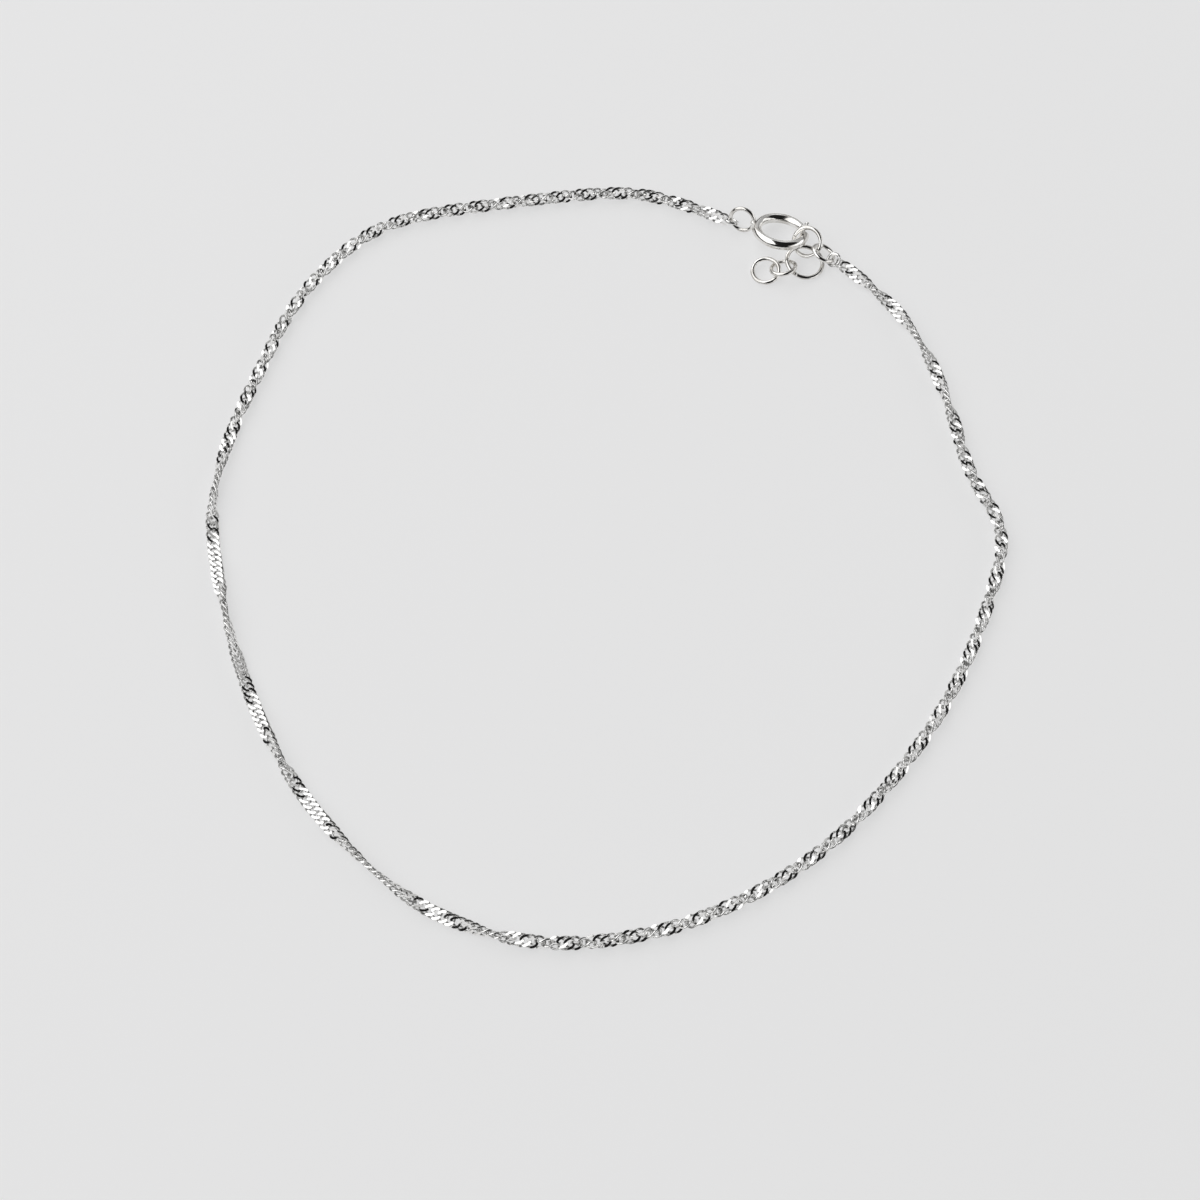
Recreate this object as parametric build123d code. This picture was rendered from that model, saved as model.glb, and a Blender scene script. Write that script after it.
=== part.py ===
from build123d import *

# A fine silver chain anklet, fastened and laid on a flat surface. Its pieces are a long chain,
# a spring ring clasp with its sliding trigger, and the small round rings of the extender.
# The frame is in millimetres, +Z up, with the surface at Z = 0 and the origin in the middle of
# the loop. The clasp lies at the rear right of the loop.

import os
from math import cos, pi, radians, sin, tan
from typing import NamedTuple

# Chain: one round tube as thick as the twisted links are wide, along the loop's centre line
CHAIN_WIDTH = 1.35
END_LINK_WIRE = 0.32            # the plain round link that closes each end of the chain
END_LINK_OUTER = 1.60
END_LINK_REACH = 0.55           # from the end of the tube to the middle of its end link
ARC_SHARE = 0.45                # share of the shorter run that each arc of the route takes up
LEFT_END_LINK_HEIGHT = 0.80     # lifted by the clasp's eye
LEFT_END_LINK_ROLL = 38         # degrees about the chain's direction
RIGHT_END_LINK_ROLL = 35

# Route of the chain from the clasp's eye round the loop to the extender
ROUTE = [
    (12.7, 39.0), (8.2, 41.2), (1.9, 42.9), (-8.8, 41.5), (-19.2, 39.8), (-24.6, 37.5),
    (-29.0, 32.9), (-32.4, 27.4), (-35.2, 19.4), (-38.0, 10.7), (-38.9, 2.6), (-37.3, -5.7),
    (-35.2, -13.3), (-32.2, -20.8), (-28.4, -27.6), (-22.4, -34.6), (-15.7, -39.9), (-6.5, -42.9),
    (3.6, -42.0), (12.2, -38.7), (20.2, -33.4), (27.2, -25.8), (33.1, -16.8), (37.1, -6.9),
    (39.3, 1.0), (35.9, 7.6), (34.7, 15.2), (32.5, 23.0), (28.7, 29.4), (24.1, 33.6),
]

# Rings of round wire, in their order from the chain's end
RING_WIRE = 0.45


class Ring(NamedTuple):
    outer: float                # outer diameter
    x: float                    # place of the ring's centre on the surface
    y: float
    lean: float                 # degrees between the ring and the surface
    rise: float                 # compass direction of its high side, degrees from +X towards +Y


RINGS = {
    "chain_ring": Ring(outer=2.8, x=22.65, y=34.60, lean=30, rise=205),
    "catch_ring": Ring(outer=3.4, x=20.95, y=35.70, lean=46, rise=57),
    "extender_ring_1": Ring(outer=4.2, x=20.65, y=33.65, lean=11, rise=150),
    "extender_ring_2": Ring(outer=3.0, x=18.40, y=32.75, lean=25, rise=296),
    "extender_ring_3": Ring(outer=3.2, x=16.60, y=32.60, lean=11.5, rise=54),
}

# Spring ring clasp. Its own frame has X pointing away from its eye, Z along the ring's axis,
# and angles counted from X towards Y, which is the side of the clasp away from the loop.
CLASP_CENTRE = (18.2, 36.9, 1.48)
CLASP_HEADING = -22             # degrees from +X
CLASP_TILT = 20                 # degrees, the side towards the loop held up
CLASP_OUTER = 6.0
TUBE_OUTER = 1.0
TUBE_BORE = 0.66
BORE_END = 155                  # the bore runs this far round, either way from X
GAP_START = 14                  # the gap that the trigger's bolt closes
GAP_END = 42
EYE_OUTER = 2.96
EYE_WIRE = 0.42
EYE_SINK = 0.05                 # how deep the eye's middle line is set into the clasp's tube
SOLDER_RADIUS = 0.34

# Trigger: a curved bolt inside the tube, with a lever that stands out through a slot
BOLT_WIRE = 0.50
BOLT_TIP = 6
BOLT_TAIL = 76
LEVER_ANGLE = 54
LEVER_WIDTH = 0.36
LEVER_LENGTH = 0.52             # out of the tube's skin
LEVER_KNOB = 0.50
TRAVEL = 37
SLOT_WIDTH = 0.52
SLOT_MARGIN = 4.5               # degrees between the lever's middle and each end of the slot

CLASP_RADIUS = (CLASP_OUTER - TUBE_OUTER) / 2
EYE_RADIUS = (EYE_OUTER - EYE_WIRE) / 2
END_LINK_RADIUS = (END_LINK_OUTER - END_LINK_WIRE) / 2


def arc_radii(points):
    """One radius for each corner: as large as its two runs allow."""
    radii = []
    for before, corner, after in zip(points, points[1:], points[2:]):
        arriving, leaving = corner - before, after - corner
        half_turn = radians(arriving.get_angle(leaving)) / 2
        radii.append(ARC_SHARE * min(arriving.length, leaving.length) / tan(half_turn))
    return radii


def end_link(tube_end, inward, height, roll):
    """A plain round link beyond the end of the tube, turned about the chain's direction."""
    flat = Vector(tube_end.X, tube_end.Y, height)
    centre = flat - inward * END_LINK_REACH
    place = Plane(origin=centre, x_dir=inward, z_dir=(0, 0, 1)) * Rot(X=roll)
    return place * Torus(END_LINK_RADIUS, END_LINK_WIRE / 2)


def chain():
    points = [Vector(x, y, CHAIN_WIDTH / 2) for x, y in ROUTE]
    radii = arc_radii(points)
    print("arc radii:", [round(radius, 1) for radius in radii])
    path = FilletPolyline(*points, radius=radii)
    section = Plane(origin=path @ 0, z_dir=path % 0) * Circle(CHAIN_WIDTH / 2)
    tube = sweep(section, path=path)
    expected = pi * CHAIN_WIDTH**2 / 4 * path.length
    print(f"chain {path.length:.1f} long, volume {tube.volume:.2f} against {expected:.2f}")
    left_inward = (points[1] - points[0]).normalized()
    right_inward = (points[-2] - points[-1]).normalized()
    right_height = END_LINK_RADIUS * sin(radians(RIGHT_END_LINK_ROLL)) + END_LINK_WIRE / 2
    left = end_link(points[0], left_inward, LEFT_END_LINK_HEIGHT, LEFT_END_LINK_ROLL)
    right = end_link(points[-1], right_inward, right_height, RIGHT_END_LINK_ROLL)
    return tube + left + right


def wire_ring(ring):
    """A closed ring of round wire whose low side rests on the surface."""
    radius = (ring.outer - RING_WIRE) / 2
    height = radius * sin(radians(ring.lean)) + RING_WIRE / 2
    level = ring.rise - 90
    place = Location((ring.x, ring.y, height)) * Rot(Z=level) * Rot(X=ring.lean)
    return place * Torus(radius, RING_WIRE / 2)


def clasp_place():
    return Location(CLASP_CENTRE) * Rot(Z=CLASP_HEADING) * Rot(X=-CLASP_TILT)


def curved_rod(radius, start, end):
    """A round rod bent along the clasp's middle line, between two angles."""
    middle = CenterArc((0, 0), CLASP_RADIUS, start, end - start)
    section = Plane(origin=middle @ 0, z_dir=middle % 0) * Circle(radius)
    return sweep(section, path=middle)


def lever_slot():
    """A window in the outer skin of the tube, as long as the lever's travel."""
    start = LEVER_ANGLE - SLOT_MARGIN
    end = LEVER_ANGLE + TRAVEL + SLOT_MARGIN
    reach = CLASP_OUTER
    corners = [(reach * cos(radians(a)), reach * sin(radians(a))) for a in (start, end)]
    wedge = make_face(Polyline((0, 0), *corners, close=True))
    band = extrude(wedge, SLOT_WIDTH / 2, both=True)
    return band - Cylinder(CLASP_RADIUS, SLOT_WIDTH * 2)


def clasp_body():
    tube = curved_rod(TUBE_OUTER / 2, GAP_END, GAP_START + 360)
    bore = curved_rod(TUBE_BORE / 2, GAP_END, BORE_END)
    far_bore = curved_rod(TUBE_BORE / 2, -BORE_END, GAP_START)
    body = tube - bore - far_bore - lever_slot()
    eye_centre = -(CLASP_OUTER / 2 + EYE_RADIUS - EYE_SINK)
    eye = Location((eye_centre, 0, 0)) * Rot(X=90) * Torus(EYE_RADIUS, EYE_WIRE / 2)
    solder = Location((-CLASP_OUTER / 2, 0, 0)) * Sphere(SOLDER_RADIUS)
    return clasp_place() * (body + eye + solder)


def clasp_trigger():
    bolt = curved_rod(BOLT_WIRE / 2, BOLT_TIP, BOLT_TAIL)
    height = TUBE_OUTER / 2 + LEVER_LENGTH
    stem_middle = CLASP_RADIUS + height / 2
    stem = Location((stem_middle, 0, 0)) * Rot(Y=90) * Cylinder(LEVER_WIDTH / 2, height)
    knob = Location((CLASP_RADIUS + height, 0, 0)) * Sphere(LEVER_KNOB / 2)
    lever = Rot(Z=LEVER_ANGLE) * (stem + knob)
    return clasp_place() * (bolt + lever)


def write(name, shape):
    shape.label = name
    export_step(shape, f"parts/{name}.step")


os.makedirs("parts", exist_ok=True)
write("chain", chain())
write("clasp_body", clasp_body())
write("clasp_trigger", clasp_trigger())
for name, ring in RINGS.items():
    write(name, wire_ring(ring))
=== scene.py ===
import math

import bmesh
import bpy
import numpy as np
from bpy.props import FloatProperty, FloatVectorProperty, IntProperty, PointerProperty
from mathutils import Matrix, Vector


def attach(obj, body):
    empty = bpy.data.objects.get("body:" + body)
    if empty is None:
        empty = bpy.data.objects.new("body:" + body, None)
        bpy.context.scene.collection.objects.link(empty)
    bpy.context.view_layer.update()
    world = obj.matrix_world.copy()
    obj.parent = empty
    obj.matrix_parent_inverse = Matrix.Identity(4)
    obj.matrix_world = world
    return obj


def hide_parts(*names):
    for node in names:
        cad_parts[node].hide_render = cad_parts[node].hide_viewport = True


bl_info = {
    "name": "Twisted Chain Anklet",
    "version": (1, 0, 0),
    "blender": (4, 5, 0),
    "location": "3D View > Sidebar > Anklet",
    "description": "Links, clasp and rings of a fine twisted silver chain anklet, with its stage",
    "category": "Object",
}

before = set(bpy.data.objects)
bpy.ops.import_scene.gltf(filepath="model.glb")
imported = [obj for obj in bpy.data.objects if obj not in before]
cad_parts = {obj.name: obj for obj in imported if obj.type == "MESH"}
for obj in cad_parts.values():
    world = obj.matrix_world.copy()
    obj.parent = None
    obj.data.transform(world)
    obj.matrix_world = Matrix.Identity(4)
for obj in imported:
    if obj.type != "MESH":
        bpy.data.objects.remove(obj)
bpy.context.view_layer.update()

MM = 0.001

# Route of the chain's centre line on the surface, from the clasp's eye round to the extender
ROUTE = [
    (0.0127, 0.0390), (0.0082, 0.0412), (0.0019, 0.0429), (-0.0088, 0.0415),
    (-0.0192, 0.0398), (-0.0246, 0.0375), (-0.0290, 0.0329), (-0.0324, 0.0274),
    (-0.0352, 0.0194), (-0.0380, 0.0107), (-0.0389, 0.0026), (-0.0373, -0.0057),
    (-0.0352, -0.0133), (-0.0322, -0.0208), (-0.0284, -0.0276), (-0.0224, -0.0346),
    (-0.0157, -0.0399), (-0.0065, -0.0429), (0.0036, -0.0420), (0.0122, -0.0387),
    (0.0202, -0.0334), (0.0272, -0.0258), (0.0331, -0.0168), (0.0371, -0.0069),
    (0.0393, 0.0010), (0.0359, 0.0076), (0.0347, 0.0152), (0.0325, 0.0230),
    (0.0287, 0.0294), (0.0241, 0.0336),
]

# How the chain is twisted: distance along it in millimetres, and half turns so far. At a whole
# number of them its broad side faces the camera. It is tight on the right and at the front, and
# slack down the left side, where the broad side comes round slowly and then slips on.
TWIST = [
    (0, 0.5), (15.5, 5), (35, 12), (38.5, 13), (44.3, 15), (50.3, 17), (56.3, 19), (62.6, 21),
    (67.2, 22), (71, 22.3), (76.5, 22.7), (79, 22.88), (84.5, 23.18), (86.5, 23.4),
    (91.5, 23.55), (93.5, 23.68), (98, 23.92), (103, 24.18), (105.5, 24.5), (107.5, 24.78),
    (110, 24.9), (114, 25.15), (116.5, 25.38), (123, 25.62), (125, 25.8), (129.5, 26.12),
    (132.5, 26.45), (135.8, 27), (139.3, 28), (142.6, 29), (145.4, 30), (148.6, 31),
    (154.7, 33), (160.6, 35), (163.7, 36), (167.4, 37), (171.8, 38), (175.4, 39),
    (183.3, 41), (191, 43), (199.7, 45), (203.8, 46), (207, 47), (209.9, 48), (213.3, 49),
    (217.6, 50), (220, 50.4), (222, 50.6), (224.4, 51), (227, 51.4), (231, 51.6),
    (233, 52), (236, 52.4), (239.5, 53), (241.5, 53.5),
]

RING_NODES = ("chain_ring", "catch_ring", "extender_ring_1", "extender_ring_2", "extender_ring_3")

# Fineness of the shapes
ROUTE_STEPS = 48                # steps of the smooth line between two points of the route
LINK_STEPS = 44                 # steps along a link's wire, and sides round it
LINK_SIDES = 12
RING_STEPS = 96                 # the same for the round rings
RING_SIDES = 20

# How the links lie
END_GAP = 0.58 * MM             # from each end of the route to the middle of the nearest link
AIM_REACH = 0.1 * MM            # how far ahead and behind a link looks for its direction
TIGHT_TWIST = math.radians(45)  # turn from link to link at which the chain would be all tight
MOST_TIGHT = 0.75               # the tightest that any link counts as
SAG_REACH = 1.5 * MM            # how far a raised link holds up its neighbours
STRAY_RUN = (0.4, 0.8, 0.4)     # how much of its stray roll a link shares with its neighbours
STRAY_SEED = 5
LOOSE_SEED = 7

# Small details of the metal
CUT_SLACK = 1e-7                # metres: points this near to a cut lie on it
CHAMFER = 0.02 * MM             # edge broken at a ring's seam
SLIVER = 1e-14                  # square metres: smaller faces are dropped


class LinkSettings(bpy.types.PropertyGroup):
    """Sizes of the twisted links."""

    pitch: FloatProperty(
        name="Pitch", description="Distance from one link to the next",
        default=0.66 * MM, min=0.3 * MM, unit="LENGTH", precision=5)
    wire: FloatProperty(
        name="Wire", description="Thickness of a link's wire",
        default=0.24 * MM, min=0.1 * MM, unit="LENGTH", precision=5)
    half_length: FloatProperty(
        name="Half Length", description="Half of a link's middle line along the chain",
        default=0.78 * MM, min=0.2 * MM, unit="LENGTH", precision=5)
    half_width: FloatProperty(
        name="Half Width", description="Half of a link's middle line across the chain",
        default=0.55 * MM, min=0.2 * MM, unit="LENGTH", precision=5)
    lift: FloatProperty(
        name="Lift", description="How far each shoulder of a link rises or falls from its middle",
        default=0.265 * MM, min=0.0, unit="LENGTH", precision=5)
    shoulder_push: FloatProperty(
        name="Shoulder Push",
        description="How far the shoulders are drawn to the link's sides, or below zero to its ends",
        default=-0.13, min=-0.3, max=0.5, subtype="FACTOR")
    shoulder_flat: FloatProperty(
        name="Shoulder Flatness", description="How far the tops of the shoulders are levelled",
        default=0.11, min=0.0, max=0.2, subtype="FACTOR")
    cut_height: FloatProperty(
        name="Cut Height", description="Height over a link's middle at which it is cut flat",
        default=0.22 * MM, min=0.1 * MM, unit="LENGTH", precision=5)
    looseness: FloatProperty(
        name="Looseness", description="Spread of the small turns that each link takes by itself",
        default=math.radians(1.8), min=0.0, subtype="ANGLE")
    stray: FloatProperty(
        name="Stray Roll", description="How far the slack links roll away from an even twist",
        default=math.radians(7), min=0.0, subtype="ANGLE")
    settling: FloatProperty(
        name="Settling", description="How far the tight twist's broad sides roll towards lying flat",
        default=math.radians(13), min=0.0, max=math.radians(28), subtype="ANGLE")
    pieces: IntProperty(
        name="Pieces", description="Number of meshes that the links are joined in",
        default=5, min=4, max=12)


class EndLinkSettings(bpy.types.PropertyGroup):
    """Sizes of the plain round link at each end of the chain."""

    wire: FloatProperty(
        name="Wire", description="Thickness of the wire",
        default=0.32 * MM, min=0.1 * MM, unit="LENGTH", precision=5)
    outer: FloatProperty(
        name="Outer Diameter", description="Diameter over the wire",
        default=1.60 * MM, min=0.5 * MM, unit="LENGTH", precision=5)
    reach: FloatProperty(
        name="Reach", description="From the end of the route to the middle of the end link",
        default=0.55 * MM, min=0.0, unit="LENGTH", precision=5)
    clasp_height: FloatProperty(
        name="Height at Clasp", description="Height of the end link that hangs in the clasp's eye",
        default=0.80 * MM, min=0.0, unit="LENGTH", precision=5)
    clasp_roll: FloatProperty(
        name="Roll at Clasp", description="Turn of that link about the chain",
        default=math.radians(38), subtype="ANGLE")
    ring_roll: FloatProperty(
        name="Roll at Extender", description="Turn of the other end link about the chain",
        default=math.radians(35), subtype="ANGLE")


class RingSettings(bpy.types.PropertyGroup):
    """The closed joint of each round ring."""

    seam: FloatProperty(
        name="Seam", description="Width of the hairline where the wire's ends meet",
        default=0.025 * MM, min=0.0, unit="LENGTH", precision=6)
    step: FloatProperty(
        name="Step", description="How far the two ends miss each other along the ring's axis",
        default=0.02 * MM, min=0.0, unit="LENGTH", precision=6)


class SilverSettings(bpy.types.PropertyGroup):
    """Colours and polish of the silver."""

    bright: FloatVectorProperty(
        name="Bright", description="Colour of clean silver",
        default=(0.955, 0.95, 0.94), subtype="COLOR", min=0.0, max=1.0)
    shade: FloatVectorProperty(
        name="Shade", description="Colour where the polish is duller",
        default=(0.82, 0.815, 0.80), subtype="COLOR", min=0.0, max=1.0)
    plain: FloatVectorProperty(
        name="Plain", description="Colour of the clasp and the rings",
        default=(0.92, 0.91, 0.89), subtype="COLOR", min=0.0, max=1.0)
    film: FloatVectorProperty(
        name="Film", description="Colour of the faint film on the clasp and the rings",
        default=(0.66, 0.64, 0.61), subtype="COLOR", min=0.0, max=1.0)
    # The recess colour is painted shade: it darkens the drawn wire as if the crevices between the
    # links shaded it, though it lies in random clouds over all the wire.
    painted_crevice_shade: FloatVectorProperty(
        name="Recess", description="Colour of the wire between the links, which isn't polished",
        default=(0.24, 0.24, 0.235), subtype="COLOR", min=0.0, max=1.0)
    cut_roughness: FloatProperty(
        name="Cut Roughness", description="Roughness of the flat cuts",
        default=0.06, min=0.0, max=1.0, subtype="FACTOR")
    wire_roughness: FloatProperty(
        name="Wire Roughness", description="Roughness of the drawn wire",
        default=0.17, min=0.0, max=1.0, subtype="FACTOR")
    clasp_roughness: FloatProperty(
        name="Clasp Roughness", description="Roughness of the clasp",
        default=0.12, min=0.0, max=1.0, subtype="FACTOR")
    ring_roughness: FloatProperty(
        name="Ring Roughness", description="Roughness of the round rings",
        default=0.14, min=0.0, max=1.0, subtype="FACTOR")


class StageSettings(bpy.types.PropertyGroup):
    """Floor, lights and camera."""

    floor_colour: FloatVectorProperty(
        name="Floor", description="Colour of the pale floor",
        default=(0.30, 0.30, 0.303), subtype="COLOR", min=0.0, max=1.0)
    floor_glow: FloatProperty(
        name="Floor Glow", description="Light that shines through the floor and softens the shadows",
        default=0.56, min=0.0, max=1.0)
    surroundings: FloatVectorProperty(
        name="Surroundings", description="Light that comes from everywhere",
        default=(0.012, 0.012, 0.012), subtype="COLOR", min=0.0, max=1.0)
    light_level: FloatProperty(
        name="Light Level", description="Scale of all the studio lights",
        default=1.0, min=0.0)
    elevation: FloatProperty(
        name="Elevation", description="Camera's angle above the floor",
        default=math.radians(60), subtype="ANGLE")
    distance: FloatProperty(
        name="Distance", description="Camera's distance from the point that it looks at",
        default=274 * MM, min=1 * MM, unit="LENGTH")
    target: FloatVectorProperty(
        name="Target", description="Point that the camera looks at",
        default=(-0.55 * MM, -6.45 * MM, 0.0), subtype="TRANSLATION", unit="LENGTH")
    focal_length: FloatProperty(
        name="Focal Length", description="Camera's focal length in millimetres",
        default=85.0, min=10.0)


# ---------------------------------------------------------------------- shapes

def new_object(name, mesh):
    """Adds an object with this mesh, curve, lamp or lens to the scene."""
    piece = bpy.data.objects.new(name, mesh)
    bpy.context.scene.collection.objects.link(piece)
    return piece


def route_points():
    """Evenly spaced points on the smooth line through the route, read from its spline."""
    curve = bpy.data.curves.new("route", "CURVE")
    curve.dimensions = "3D"
    curve.resolution_u = ROUTE_STEPS
    spline = curve.splines.new("NURBS")
    spline.points.add(len(ROUTE) - 1)
    for point, (x, y) in zip(spline.points, ROUTE):
        point.co = (x, y, 0, 1)
    spline.order_u = 3
    spline.use_endpoint_u = True
    line = new_object("route", curve)
    mesh = bpy.data.meshes.new_from_object(line)
    points = np.array([vertex.co for vertex in mesh.vertices])
    bpy.data.objects.remove(line)
    bpy.data.curves.remove(curve)
    bpy.data.meshes.remove(mesh)
    return points


def along(points):
    """Distance of each point along the line."""
    steps = np.linalg.norm(np.diff(points, axis=0), axis=1)
    return np.concatenate([[0], np.cumsum(steps)])


def unit(rows):
    """The same directions, each of length one."""
    return rows / np.linalg.norm(rows, axis=-1, keepdims=True)


def link_line(settings, angle):
    """Middle line of one link: X along the chain, Y across it, Z out of its broad side."""
    return np.stack([
        settings.half_length * np.cos(angle),
        settings.half_width * np.sin(angle),
        -settings.lift * (np.sin(2 * angle) - settings.shoulder_push * np.sin(4 * angle)
                          + settings.shoulder_flat * np.sin(6 * angle)),
    ], axis=-1)


def swept_ring(mesh, line, wire, sides):
    """Adds a closed ring of round wire along a closed line of points to a bmesh."""
    ahead = unit(np.roll(line, -1, axis=0) - np.roll(line, 1, axis=0))
    up = np.array([0.0, 0.0, 1.0])
    first = unit(up - ahead * (ahead @ up)[:, None])
    second = np.cross(ahead, first)
    rows = []
    for middle, one, two in zip(line, first, second):
        turns = [2 * math.pi * k / sides for k in range(sides)]
        rows.append([
            mesh.verts.new(middle + wire / 2 * (math.cos(t) * one + math.sin(t) * two))
            for t in turns
        ])
    for here, there in zip(rows, rows[1:] + rows[:1]):
        for k in range(sides):
            mesh.faces.new((here[k - 1], here[k], there[k], there[k - 1]))


def cut_flat(mesh, height, direction):
    """Cuts the ring off level at a height and closes the cut with flat faces."""
    geometry = mesh.verts[:] + mesh.edges[:] + mesh.faces[:]
    bmesh.ops.bisect_plane(
        mesh, geom=geometry, dist=CUT_SLACK, plane_co=(0, 0, height * direction),
        plane_no=(0, 0, direction), clear_outer=True)
    rim = [edge for edge in mesh.edges if edge.is_boundary]
    return bmesh.ops.holes_fill(mesh, edges=rim, sides=0)["faces"]


def link_template(settings):
    """Points, faces and cut marks of one link."""
    angle = np.arange(LINK_STEPS) * 2 * math.pi / LINK_STEPS
    mesh = bmesh.new()
    swept_ring(mesh, link_line(settings, angle), settings.wire, LINK_SIDES)
    cuts = []
    for direction in (1, -1):
        cuts += cut_flat(mesh, settings.cut_height, direction)
    bmesh.ops.recalc_face_normals(mesh, faces=mesh.faces[:])
    mesh.verts.index_update()
    points = np.array([vertex.co for vertex in mesh.verts])
    faces = [[vertex.index for vertex in face.verts] for face in mesh.faces]
    marks = [face in cuts for face in mesh.faces]
    mesh.free()
    return points, faces, marks


class ANKLET_OT_links(bpy.types.Operator):
    """Lays the twisted flat-cut links along the route"""

    bl_idname = "anklet.links"
    bl_label = "Lay Twisted Links"

    def execute(self, context):
        settings = context.scene.anklet_links
        materials = [drawn_silver(context), cut_silver(context)]
        for k, mesh in enumerate(link_meshes(context), start=1):
            piece = new_object(f"chain_links_{k}", mesh)
            for material in materials:
                mesh.materials.append(material)
            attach(piece, "anklet")
            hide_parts("chain")
        return {"FINISHED"}


def towards_camera(context):
    """Direction from the anklet towards the camera."""
    lift = context.scene.anklet_stage.elevation
    return np.array([0.0, -math.cos(lift), math.sin(lift)])


def link_places(context):
    """Middle, direction, and outward normal of the broad side of every link."""
    settings = context.scene.anklet_links
    points = route_points()
    travel = along(points)
    first = END_GAP
    last = travel[-1] - END_GAP
    count = round((last - first) / settings.pitch) + 1
    stations = np.linspace(first, last, count)
    middles = np.stack([np.interp(stations, travel, points[:, k]) for k in range(3)], axis=1)
    ahead = unit(np.stack([
        np.interp(stations + AIM_REACH, travel, points[:, k])
        - np.interp(stations - AIM_REACH, travel, points[:, k]) for k in range(3)
    ], axis=1))
    table = np.array(TWIST)
    turn = math.pi * np.interp(stations, table[:, 0] * MM, table[:, 1])
    tight = np.clip(np.gradient(turn) / TIGHT_TWIST, 0, MOST_TIGHT)
    turn += settings.stray * (1 - tight) * stray_roll(count)
    turn -= settings.settling * tight * np.sin(2 * turn)
    face_on = towards_camera(context)
    start = unit(face_on - ahead * (ahead @ face_on)[:, None])
    side = np.cross(ahead, start)
    normals = start * np.cos(turn)[:, None] + side * np.sin(turn)[:, None]
    middles[:, 2] = resting_height(settings, stations, normals)
    return middles, ahead, normals


def stray_roll(count):
    """Uneven roll of the links, in runs of two or three."""
    chance = np.random.RandomState(STRAY_SEED).normal(0, 1, count)
    return np.convolve(chance, STRAY_RUN, "same")


def resting_height(settings, stations, normals):
    """Height of each link's middle: the chain bridges between the links that it stands on."""
    tilt = np.abs(normals[:, 2])
    edge = settings.half_width + settings.wire / 2
    needed = edge * np.sqrt(1 - tilt**2) + settings.cut_height * tilt
    near = np.abs(stations[:, None] - stations[None, :]) < SAG_REACH
    highest = np.where(near, needed[None, :], 0).max(axis=1)
    weights = np.exp(-((stations[:, None] - stations[None, :]) / SAG_REACH) ** 2)
    smooth = (weights * highest[None, :]).sum(axis=1) / weights.sum(axis=1)
    return np.maximum(smooth, needed)


def link_meshes(context):
    """All the links, joined in a few meshes along the chain."""
    settings = context.scene.anklet_links
    middles, ahead, normals = link_places(context)
    across = np.cross(normals, ahead)
    points, faces, marks = link_template(settings)
    chance = np.random.RandomState(LOOSE_SEED)
    wobble = chance.normal(0, settings.looseness, (len(middles), 3))
    meshes = []
    for group in np.array_split(np.arange(len(middles)), settings.pieces):
        corners, polygons = [], []
        for n, k in enumerate(group):
            basis = np.stack([ahead[k], across[k], normals[k]])
            local = points + np.cross(wobble[k], points)
            corners.append(local @ basis + middles[k])
            polygons += [[i + n * len(points) for i in face] for face in faces]
        mesh = bpy.data.meshes.new("links")
        mesh.from_pydata(np.concatenate(corners), [], polygons)
        cut = np.tile(marks, len(group))
        mesh.polygons.foreach_set("use_smooth", ~cut)
        mesh.polygons.foreach_set("material_index", cut.astype(np.int32))
        mesh.update()
        meshes.append(mesh)
    return meshes


# ------------------------------------------------------------------ materials

FILM_AND_PAINTED_SHADE_FROM = 0.36                # cloud value where the low colour begins to thin out, and where it ends: the film on the clasp and rings, the painted crevice shade on the drawn wire, the duller polish on the cuts
FILM_AND_PAINTED_SHADE_TO = 0.58
POLISH_FROM = 0.3               # cloud values between which the gloss changes
POLISH_TO = 0.7
DULLEST = 1.5                   # roughness there, as a multiple of the metal's own
GLOSSIEST = 0.7
RUB_SCALE = 1800                # size of the rubbed lines, their stretch, depth and strength
RUB_STRETCH = (1, 7, 2)
RUB_DEPTH = 0.002 * MM
RUB_STRENGTH = 0.5


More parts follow.
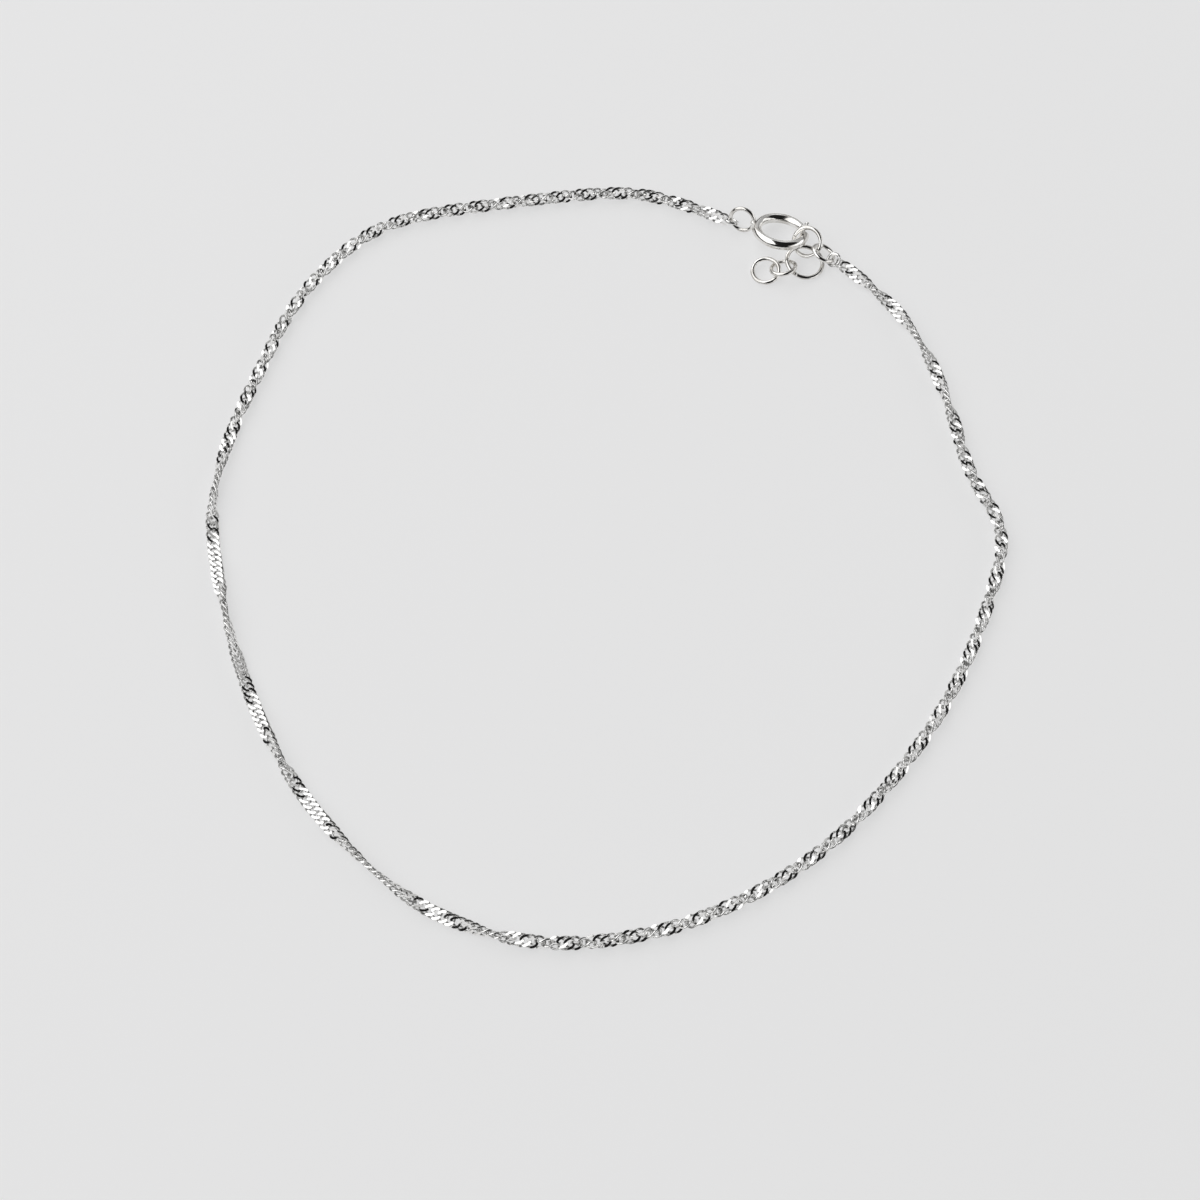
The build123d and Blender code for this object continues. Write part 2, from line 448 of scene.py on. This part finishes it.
def silver_material(name, low, high, roughness, grain):
    """Polished silver, whose tone and gloss drift in clouds, with faint rubbed lines.

    Low and high are its colours under the film and clear of it, and grain is the clouds' scale. On
    the drawn wire the low colour is painted shade that stands in for the shade between the links.
    """
    material = bpy.data.materials.get(name)
    if material:
        return material
    material = bpy.data.materials.new(name)
    material.use_nodes = True
    nodes, links = material.node_tree.nodes, material.node_tree.links
    shader = nodes["Principled BSDF"]
    shader.inputs["Metallic"].default_value = 1.0
    place = nodes.new("ShaderNodeTexCoord")
    cloud = nodes.new("ShaderNodeTexNoise")
    cloud.inputs["Scale"].default_value = grain
    cloud.inputs["Detail"].default_value = 4
    links.new(place.outputs["Object"], cloud.inputs["Vector"])
    tone = nodes.new("ShaderNodeValToRGB")
    tone.color_ramp.elements[0].position = FILM_AND_PAINTED_SHADE_FROM
    tone.color_ramp.elements[0].color = (*low, 1)
    tone.color_ramp.elements[1].position = FILM_AND_PAINTED_SHADE_TO
    tone.color_ramp.elements[1].color = (*high, 1)
    links.new(cloud.outputs["Fac"], tone.inputs["Fac"])
    links.new(tone.outputs["Color"], shader.inputs["Base Color"])
    polish = nodes.new("ShaderNodeMapRange")
    polish.inputs["From Min"].default_value = POLISH_FROM
    polish.inputs["From Max"].default_value = POLISH_TO
    polish.inputs["To Min"].default_value = roughness * DULLEST
    polish.inputs["To Max"].default_value = roughness * GLOSSIEST
    links.new(cloud.outputs["Fac"], polish.inputs["Value"])
    links.new(polish.outputs["Result"], shader.inputs["Roughness"])
    stretch = nodes.new("ShaderNodeMapping")
    stretch.inputs["Scale"].default_value = RUB_STRETCH
    rubbed = nodes.new("ShaderNodeTexNoise")
    rubbed.inputs["Scale"].default_value = RUB_SCALE
    relief = nodes.new("ShaderNodeBump")
    relief.inputs["Strength"].default_value = RUB_STRENGTH
    relief.inputs["Distance"].default_value = RUB_DEPTH
    links.new(place.outputs["Object"], stretch.inputs["Vector"])
    links.new(stretch.outputs["Vector"], rubbed.inputs["Vector"])
    links.new(rubbed.outputs["Fac"], relief.inputs["Height"])
    links.new(relief.outputs["Normal"], shader.inputs["Normal"])
    return material


def drawn_silver(context):
    """Silver of the drawn wire, with painted crevice shade laid over it in random clouds."""
    silver = context.scene.anklet_silver
    # The low colour here is painted shade that stands in for the shade between the links.
    return silver_material(
        "drawn_silver", low=silver.painted_crevice_shade, high=silver.bright,
        roughness=silver.wire_roughness, grain=2600)


def cut_silver(context):
    """Silver of the bright flat cuts."""
    silver = context.scene.anklet_silver
    return silver_material(
        "cut_silver", low=silver.shade, high=silver.bright,
        roughness=silver.cut_roughness, grain=1500)


def ring_silver(context):
    """Silver of the round rings."""
    silver = context.scene.anklet_silver
    return silver_material(
        "polished_rings", low=silver.film, high=silver.plain,
        roughness=silver.ring_roughness, grain=900)


def clasp_silver(context):
    """Silver of the clasp and its trigger."""
    silver = context.scene.anklet_silver
    return silver_material(
        "polished_clasp", low=silver.film, high=silver.plain,
        roughness=silver.clasp_roughness, grain=700)


class ANKLET_OT_end_links(bpy.types.Operator):
    """Adds the plain round link at each end of the chain"""

    bl_idname = "anklet.end_links"
    bl_label = "Add End Links"

    def execute(self, context):
        settings = context.scene.anklet_ends
        radius = (settings.outer - settings.wire) / 2
        ring_height = radius * math.sin(settings.ring_roll) + settings.wire / 2
        ends = [
            ("end_link_clasp", ROUTE[0], ROUTE[1], settings.clasp_height, settings.clasp_roll),
            ("end_link_ring", ROUTE[-1], ROUTE[-2], ring_height, settings.ring_roll),
        ]
        for name, end, neighbour, height, roll in ends:
            inward = (Vector(neighbour) - Vector(end)).normalized().to_3d()
            centre = Vector((*end, height)) - inward * settings.reach
            side = Vector((0, 0, 1)).cross(inward)
            across = side * math.cos(roll) + Vector((0, 0, 1)) * math.sin(roll)
            mesh = wire_ring(centre, inward, across, radius, settings.wire, context)
            piece = new_object(name, mesh)
            mesh.materials.append(drawn_silver(context))
            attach(piece, "anklet")
            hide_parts("chain")
        return {"FINISHED"}


def wire_ring(centre, one, two, radius, wire, context):
    """A round ring of wire in the plane of two directions, with a hairline where its ends meet."""
    settings = context.scene.anklet_rings
    axis = one.cross(two).normalized()
    open_angle = settings.seam / radius
    chamfer = CHAMFER / radius
    turns = np.linspace(open_angle / 2, 2 * math.pi - open_angle / 2, RING_STEPS)
    turns = np.concatenate([[turns[0]], [turns[0] + chamfer], turns[1:-1],
                            [turns[-1] - chamfer], [turns[-1]]])
    thickness = np.full(len(turns), wire / 2)
    thickness[[0, -1]] -= CHAMFER
    drift = (turns / (2 * math.pi) - 0.5) * settings.step
    mesh = bmesh.new()
    rows = []
    for turn, half, shift in zip(turns, thickness, drift):
        out = one * math.cos(turn) + two * math.sin(turn)
        middle = centre + out * radius + axis * shift
        rows.append([
            mesh.verts.new(middle + out * (half * math.cos(t)) + axis * (half * math.sin(t)))
            for t in (2 * math.pi * k / RING_SIDES for k in range(RING_SIDES))
        ])
    for here, there in zip(rows, rows[1:]):
        for k in range(RING_SIDES):
            mesh.faces.new((here[k - 1], here[k], there[k], there[k - 1])).smooth = True
    for row in (rows[0], rows[-1]):
        mesh.faces.new(row)
    bmesh.ops.recalc_face_normals(mesh, faces=mesh.faces[:])
    made = bpy.data.meshes.new("wire_ring")
    mesh.to_mesh(made)
    mesh.free()
    return made


def ring_plane(node):
    """Centre, two directions, middle radius and wire of a round CAD ring, from its points."""
    points = np.array([vertex.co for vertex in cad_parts[node].data.vertices])
    centre = (points.min(axis=0) + points.max(axis=0)) / 2
    _, _, axes = np.linalg.svd(points - points.mean(axis=0), full_matrices=False)
    local = (points - centre) @ axes.T
    centre = centre + axes.T @ ((local.min(axis=0) + local.max(axis=0)) / 2)
    local = (points - centre) @ axes.T
    wire = np.ptp(local[:, 2])
    outer = np.ptp(local[:, 0])
    return Vector(centre), Vector(axes[0]), Vector(axes[1]), (outer - wire) / 2, wire


class ANKLET_OT_rings(bpy.types.Operator):
    """Makes the round wire rings of the extender, each closed with a hairline seam"""

    bl_idname = "anklet.rings"
    bl_label = "Make Rings"

    def execute(self, context):
        for node in RING_NODES:
            mesh = wire_ring(*ring_plane(node), context)
            piece = new_object(f"{node}_wire", mesh)
            mesh.materials.append(ring_silver(context))
            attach(piece, "anklet")
            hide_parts(node)
        return {"FINISHED"}


def slivers_dropped():
    """Node group that takes out the faces that have no area."""
    group = bpy.data.node_groups.new("slivers_dropped", "GeometryNodeTree")
    for direction in ("INPUT", "OUTPUT"):
        group.interface.new_socket("Mesh", in_out=direction, socket_type="NodeSocketGeometry")
    nodes, links = group.nodes, group.links
    area = nodes.new("GeometryNodeInputMeshFaceArea")
    compare = nodes.new("FunctionNodeCompare")
    compare.operation = "LESS_THAN"
    compare.inputs["B"].default_value = SLIVER
    take_out = nodes.new("GeometryNodeDeleteGeometry")
    take_out.domain = "FACE"
    links.new(area.outputs["Area"], compare.inputs["A"])
    links.new(compare.outputs["Result"], take_out.inputs["Selection"])
    links.new(nodes.new("NodeGroupInput").outputs["Mesh"], take_out.inputs["Geometry"])
    links.new(take_out.outputs["Geometry"], nodes.new("NodeGroupOutput").inputs["Mesh"])
    return group


class ANKLET_OT_clasp(bpy.types.Operator):
    """Gives the spring ring clasp and its trigger their polished finish"""

    bl_idname = "anklet.clasp"
    bl_label = "Finish Clasp"

    def execute(self, context):
        material = clasp_silver(context)
        group = slivers_dropped()
        for node in ("clasp_body", "clasp_trigger"):
            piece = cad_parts[node]
            piece.modifiers.new("slivers_dropped", "NODES").node_group = group
            piece.data.materials.clear()
            piece.data.materials.append(material)
        return {"FINISHED"}


# ---------------------------------------------------------------------- stage

FLOOR_HALF = 1.5                # metres from the middle of the floor to its edge
FLOOR_ROUGHNESS = 0.8
SENSOR_WIDTH = 36               # millimetres
NEAREST_SEEN = 1 * MM

# Softboxes: name, azimuth from +X and elevation in degrees, distance and sides in metres, watts
SOFTBOXES = [
    ("window", 169, 52, 0.9, 2.1, 1.1, 10.5),
    ("right_fill", -10, 17, 0.9, 1.5, 0.45, 2.6),
    ("back_fill", 100, 28, 0.9, 0.9, 0.6, 1.0),
    ("corner_fill", 48, 21, 0.9, 0.8, 0.6, 0.6),
]


class ANKLET_OT_stage(bpy.types.Operator):
    """Sets the pale floor, the soft lights and the camera"""

    bl_idname = "anklet.stage"
    bl_label = "Set Stage"

    def execute(self, context):
        settings = context.scene.anklet_stage
        lay_floor(settings)
        set_surroundings(context.scene, settings)
        for softbox in SOFTBOXES:
            hang_softbox(settings, *softbox)
        place_camera(context.scene, settings)
        return {"FINISHED"}


def lay_floor(settings):
    """A plain pale floor that glows a little."""
    mesh = bpy.data.meshes.new("floor")
    corners = [(x * FLOOR_HALF, y * FLOOR_HALF, 0) for x, y in ((-1, -1), (1, -1), (1, 1), (-1, 1))]
    mesh.from_pydata(corners, [], [(0, 1, 2, 3)])
    material = bpy.data.materials.new("pale_floor")
    material.use_nodes = True
    shader = material.node_tree.nodes["Principled BSDF"]
    shader.inputs["Base Color"].default_value = (*settings.floor_colour, 1)
    shader.inputs["Roughness"].default_value = FLOOR_ROUGHNESS
    shader.inputs["Emission Strength"].default_value = settings.floor_glow
    mesh.materials.append(material)
    new_object("floor", mesh)


def set_surroundings(scene, settings):
    """Faint even light from all sides."""
    world = bpy.data.worlds.new("studio")
    world.use_nodes = True
    world.node_tree.nodes["Background"].inputs["Color"].default_value = (*settings.surroundings, 1)
    scene.world = world
    scene.view_settings.view_transform = "Standard"


def hang_softbox(settings, name, azimuth, elevation, distance, width, height, power):
    """A soft rectangular lamp that points at the middle of the anklet."""
    turn, lift = math.radians(azimuth), math.radians(elevation)
    place = Vector((math.cos(turn) * math.cos(lift), math.sin(turn) * math.cos(lift), math.sin(lift)))
    lamp = bpy.data.lights.new(name, "AREA")
    lamp.shape = "RECTANGLE"
    lamp.size = width
    lamp.size_y = height
    lamp.energy = power * settings.light_level
    holder = new_object(name, lamp)
    holder.location = place * distance
    holder.rotation_euler = place.to_track_quat("Z", "Y").to_euler()


def place_camera(scene, settings):
    """A camera in front of the anklet that looks down at it."""
    lens = bpy.data.cameras.new("camera")
    lens.lens = settings.focal_length
    lens.sensor_width = SENSOR_WIDTH
    lens.clip_start = NEAREST_SEEN
    camera = new_object("camera", lens)
    back = Vector((0, -math.cos(settings.elevation), math.sin(settings.elevation)))
    camera.location = Vector(settings.target) + back * settings.distance
    camera.rotation_euler = (math.pi / 2 - settings.elevation, 0, 0)
    scene.camera = camera


# ---------------------------------------------------------------------- panel

class ANKLET_PT_panel(bpy.types.Panel):
    """Lists the settings and steps of the anklet"""

    bl_idname = "ANKLET_PT_panel"
    bl_label = "Chain Anklet"
    bl_space_type = "VIEW_3D"
    bl_region_type = "UI"
    bl_category = "Anklet"

    def draw(self, context):
        layout = self.layout
        for label, settings_name, _, steps in SECTIONS:
            box = layout.box()
            box.label(text=label)
            settings = getattr(context.scene, settings_name)
            for name in settings.__annotations__:
                box.prop(settings, name)
            for step in steps:
                box.operator(step.bl_idname)


# Sections of the panel: label, name of the scene's settings, their type, steps that read them
SECTIONS = [
    ("Links", "anklet_links", LinkSettings, (ANKLET_OT_links,)),
    ("End Links", "anklet_ends", EndLinkSettings, (ANKLET_OT_end_links,)),
    ("Rings", "anklet_rings", RingSettings, (ANKLET_OT_rings,)),
    ("Silver", "anklet_silver", SilverSettings, (ANKLET_OT_clasp,)),
    ("Stage", "anklet_stage", StageSettings, (ANKLET_OT_stage,)),
]


def register():
    for _, settings_name, kind, steps in SECTIONS:
        bpy.utils.register_class(kind)
        setattr(bpy.types.Scene, settings_name, PointerProperty(type=kind))
        for step in steps:
            bpy.utils.register_class(step)
    bpy.utils.register_class(ANKLET_PT_panel)


def unregister():
    bpy.utils.unregister_class(ANKLET_PT_panel)
    for _, settings_name, kind, steps in reversed(SECTIONS):
        for step in steps:
            bpy.utils.unregister_class(step)
        delattr(bpy.types.Scene, settings_name)
        bpy.utils.unregister_class(kind)


def main():
    """Builds everything in order."""
    register()
    bpy.ops.anklet.stage()
    bpy.ops.anklet.links()
    bpy.ops.anklet.end_links()
    bpy.ops.anklet.rings()
    bpy.ops.anklet.clasp()


if __name__ == "__main__":
    main()
